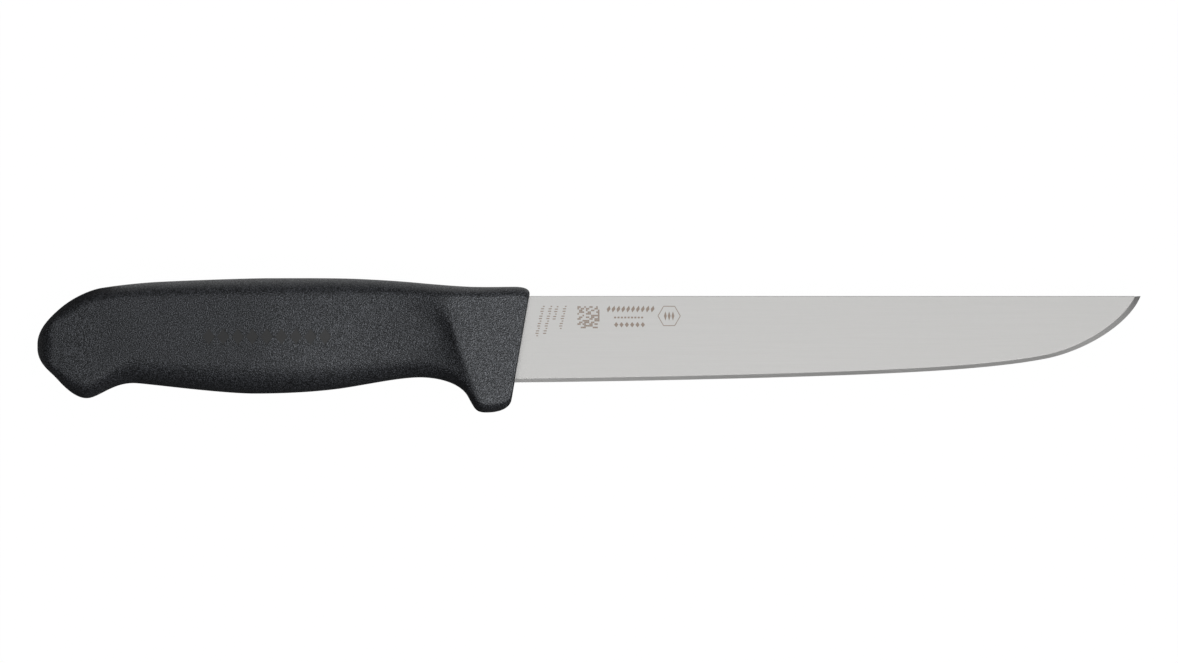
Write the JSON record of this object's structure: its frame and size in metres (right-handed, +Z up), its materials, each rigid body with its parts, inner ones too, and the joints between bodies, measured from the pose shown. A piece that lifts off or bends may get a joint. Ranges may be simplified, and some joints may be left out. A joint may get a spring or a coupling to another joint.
{
  "type": "butcher knife",
  "caption": "Fixed-blade butcher's knife with a straight spine, a wide blade with an upswept edge, a hidden tang, a moulded core and a textured black grip with a finger guard.",
  "frame": {"origin": "middle of the knife's footprint, on the surface that it lies on", "axes": "+X along the spine towards the tip, +Y in the plane of the blade from the cutting edge to the spine, +Z up, through the knife's thickness as it lies on its side"},
  "size_m": [0.3208, 0.0392, 0.0226],
  "materials": {
    "blade_steel": "satin",
    "core_plastic": "satin",
    "grip_plastic": "matte"
  },
  "bodies": {
    "root": {"blade": "blade_steel", "handle_core": "core_plastic", "handle_grip": "grip_plastic"}
  },
  "joints": []
}
